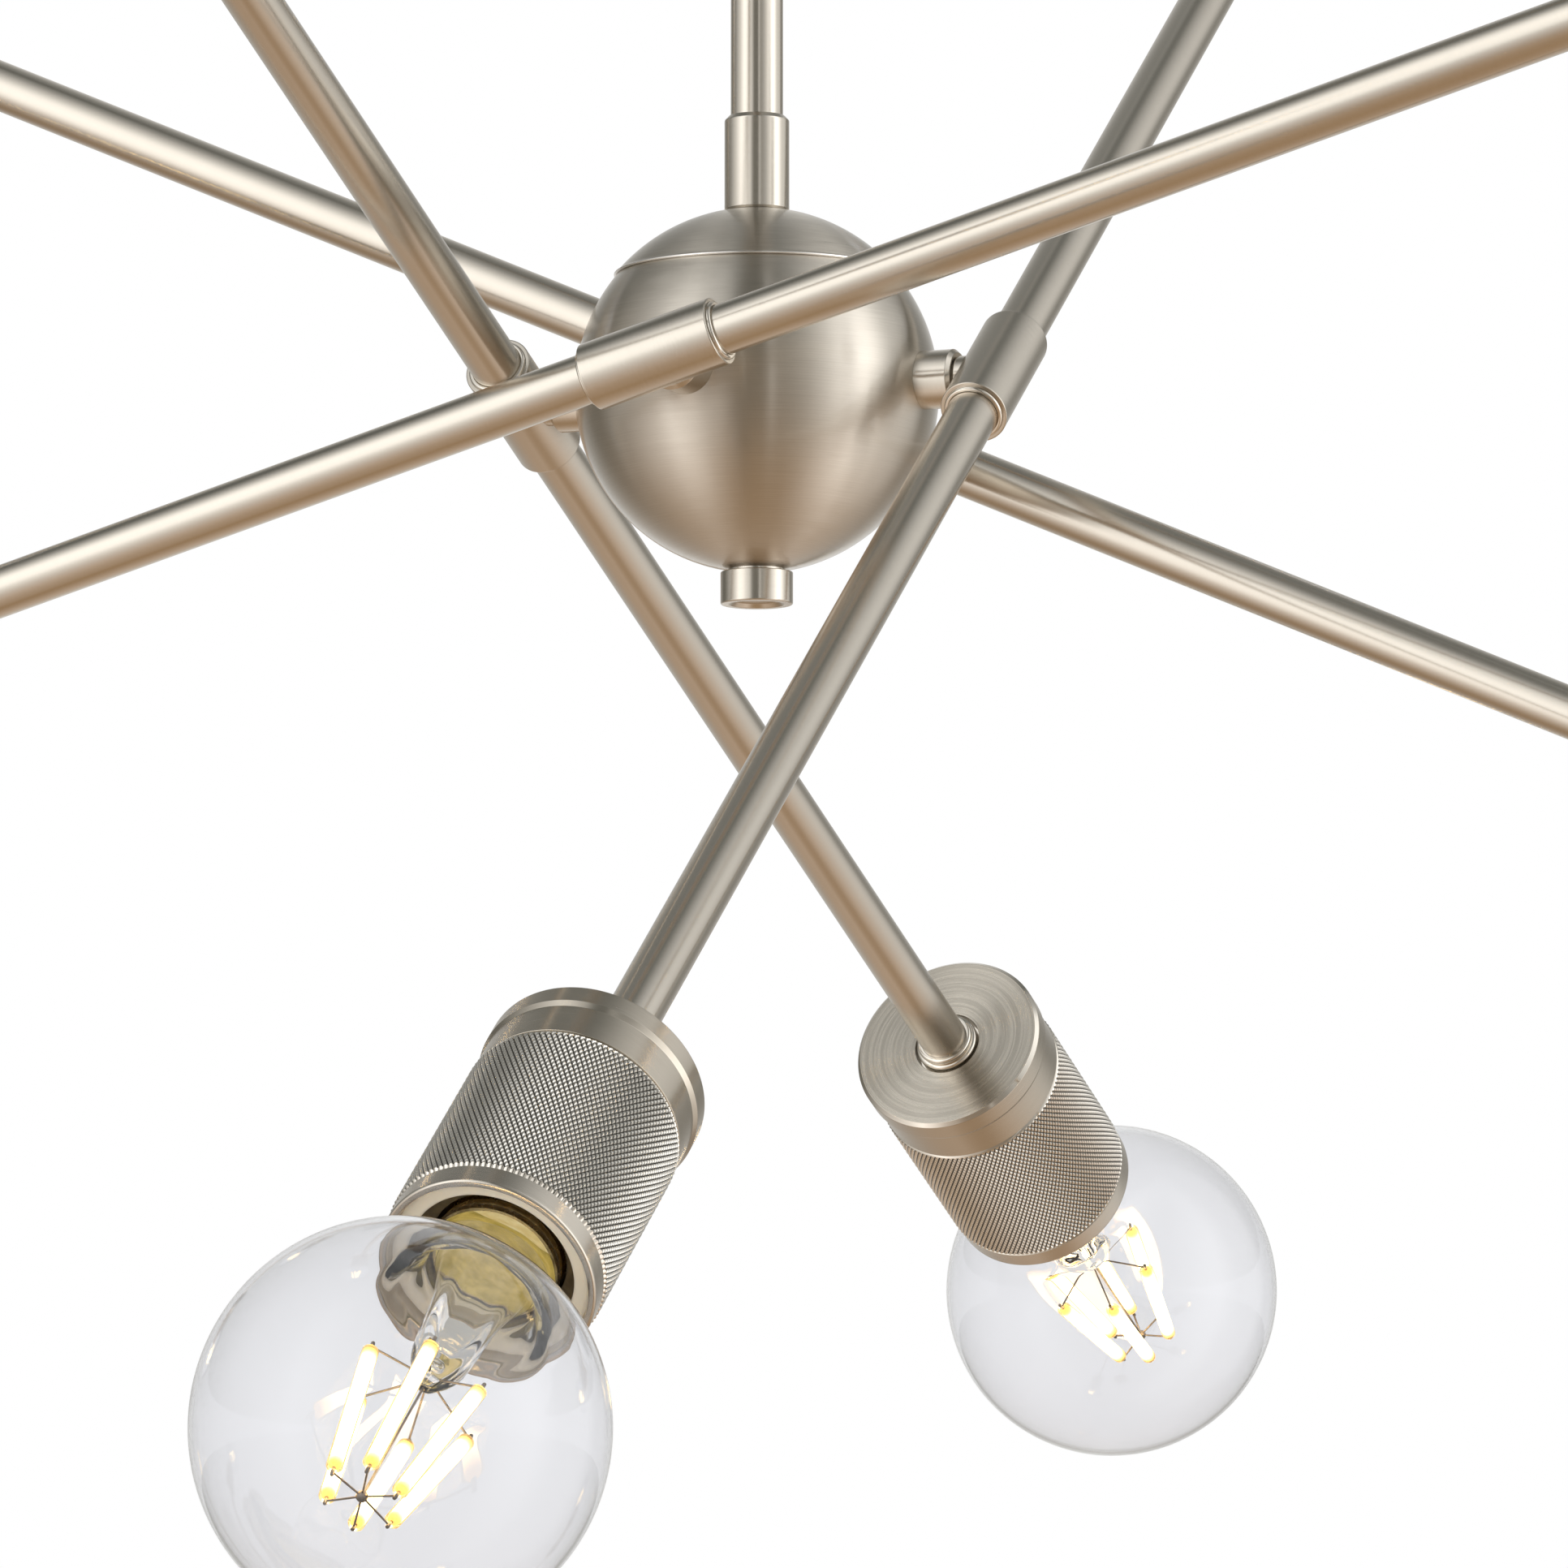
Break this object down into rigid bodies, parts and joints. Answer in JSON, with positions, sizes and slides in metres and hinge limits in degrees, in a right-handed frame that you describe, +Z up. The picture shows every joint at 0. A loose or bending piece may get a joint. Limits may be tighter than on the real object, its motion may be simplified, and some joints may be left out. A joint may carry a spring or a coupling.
{
  "type": "pendant chandelier",
  "caption": "Ceiling-hung chandelier: ball hub on a straight stem carries crossing tilting rods, each ended by knurled lampholder cups with clear globe filament bulbs",
  "frame": {"origin": "centre of the ceiling crossbar's slot pattern, on the ceiling plane (Z = 0); the fixture hangs below it", "axes": "+Z up to the ceiling; +X along the crossbar and through the right and left arm posts; -Y towards the front arm; metres"},
  "size_m": [0.83, 0.7832, 0.8443],
  "materials": {
    "satin_nickel": "satin brushed nickel plate, fine lines, warm",
    "polished_nickel": "polished nickel plate",
    "zinc_steel": "bright zinc plated steel",
    "brass_base": "thin rolled brass screw shell with dark insulator",
    "cream_holder": "cream porcelain, soft glaze",
    "clear_glass": "clear blown glass",
    "filament": "phosphor coated filament on a clear glass stem",
    "wire_insulation": "insulated copper conductors"
  },
  "bodies": {
    "canopy": {"canopy": "satin_nickel", "ceiling_crossbar": "zinc_steel", "crossbar_screws": "zinc_steel", "canopy_nuts": "satin_nickel", "supply_leads": "wire_insulation", "swivel_housing": "satin_nickel"},
    "swivel": {"swivel_knuckle": "satin_nickel", "swivel_pin": "satin_nickel"},
    "stem": {"stem_top_fitting": "satin_nickel", "upper_stem_tube": "satin_nickel", "stem_joint_coupling": "satin_nickel", "lower_stem_tube": "satin_nickel", "hub_coupling": "satin_nickel", "threaded_nipples": "zinc_steel", "stem_wiring": "wire_insulation", "hub_top_cap": "satin_nickel", "hub_shell": "satin_nickel", "hub_finial": "satin_nickel", "arm_posts": "satin_nickel", "hub_fasteners": "zinc_steel"},
    "front_arm": {"front_arm_sleeve": "satin_nickel", "front_arm_pivot_nut": "zinc_steel", "front_arm_tubes": "satin_nickel", "front_arm_polished_rings": "polished_nickel", "front_arm_socket_caps": "satin_nickel", "front_arm_knurled_cups": "satin_nickel", "front_arm_lampholders": "cream_holder", "front_arm_bulb_bases": "brass_base", "front_arm_bulb_glasses": "clear_glass", "front_arm_bulb_filaments": "filament"},
    "right_arm": {"right_arm_sleeve": "satin_nickel", "right_arm_pivot_nut": "zinc_steel", "right_arm_tubes": "satin_nickel", "right_arm_polished_rings": "polished_nickel", "right_arm_socket_caps": "satin_nickel", "right_arm_knurled_cups": "satin_nickel", "right_arm_lampholders": "cream_holder", "right_arm_bulb_bases": "brass_base", "right_arm_bulb_glasses": "clear_glass", "right_arm_bulb_filaments": "filament"},
    "rear_arm": {"rear_arm_sleeve": "satin_nickel", "rear_arm_pivot_nut": "zinc_steel", "rear_arm_tubes": "satin_nickel", "rear_arm_polished_rings": "polished_nickel", "rear_arm_socket_caps": "satin_nickel", "rear_arm_knurled_cups": "satin_nickel", "rear_arm_lampholders": "cream_holder", "rear_arm_bulb_bases": "brass_base", "rear_arm_bulb_glasses": "clear_glass", "rear_arm_bulb_filaments": "filament"},
    "left_arm": {"left_arm_sleeve": "satin_nickel", "left_arm_pivot_nut": "zinc_steel", "left_arm_tubes": "satin_nickel", "left_arm_polished_rings": "polished_nickel", "left_arm_socket_caps": "satin_nickel", "left_arm_knurled_cups": "satin_nickel", "left_arm_lampholders": "cream_holder", "left_arm_bulb_bases": "brass_base", "left_arm_bulb_glasses": "clear_glass", "left_arm_bulb_filaments": "filament"}
  },
  "joints": [
    {"name": "stem_turn", "type": "hinge", "parent": "canopy", "child": "swivel", "pos_m": [0, 0, -0.031], "axis": [0, 0, 1], "range_deg": [-170, 170]},
    {"name": "swivel_tilt", "type": "hinge", "parent": "swivel", "child": "stem", "pos_m": [0, 0, -0.046], "axis": [1, 0, 0], "range_deg": [-20, 20]},
    {"name": "front_arm_tilt", "type": "hinge", "parent": "stem", "child": "front_arm", "pos_m": [0, 0, -0.56], "axis": [0, -1, 0], "range_deg": [-7.4, 64.6]},
    {"name": "right_arm_tilt", "type": "hinge", "parent": "stem", "child": "right_arm", "pos_m": [0, 0, -0.56], "axis": [1, 0, 0], "range_deg": [-30.9, 41.1]},
    {"name": "rear_arm_tilt", "type": "hinge", "parent": "stem", "child": "rear_arm", "pos_m": [0, 0, -0.56], "axis": [0, 1, 0], "range_deg": [-15.4, 56.6]},
    {"name": "left_arm_tilt", "type": "hinge", "parent": "stem", "child": "left_arm", "pos_m": [0, 0, -0.56], "axis": [-1, 0, 0], "range_deg": [-17.3, 54.7]}
  ]
}
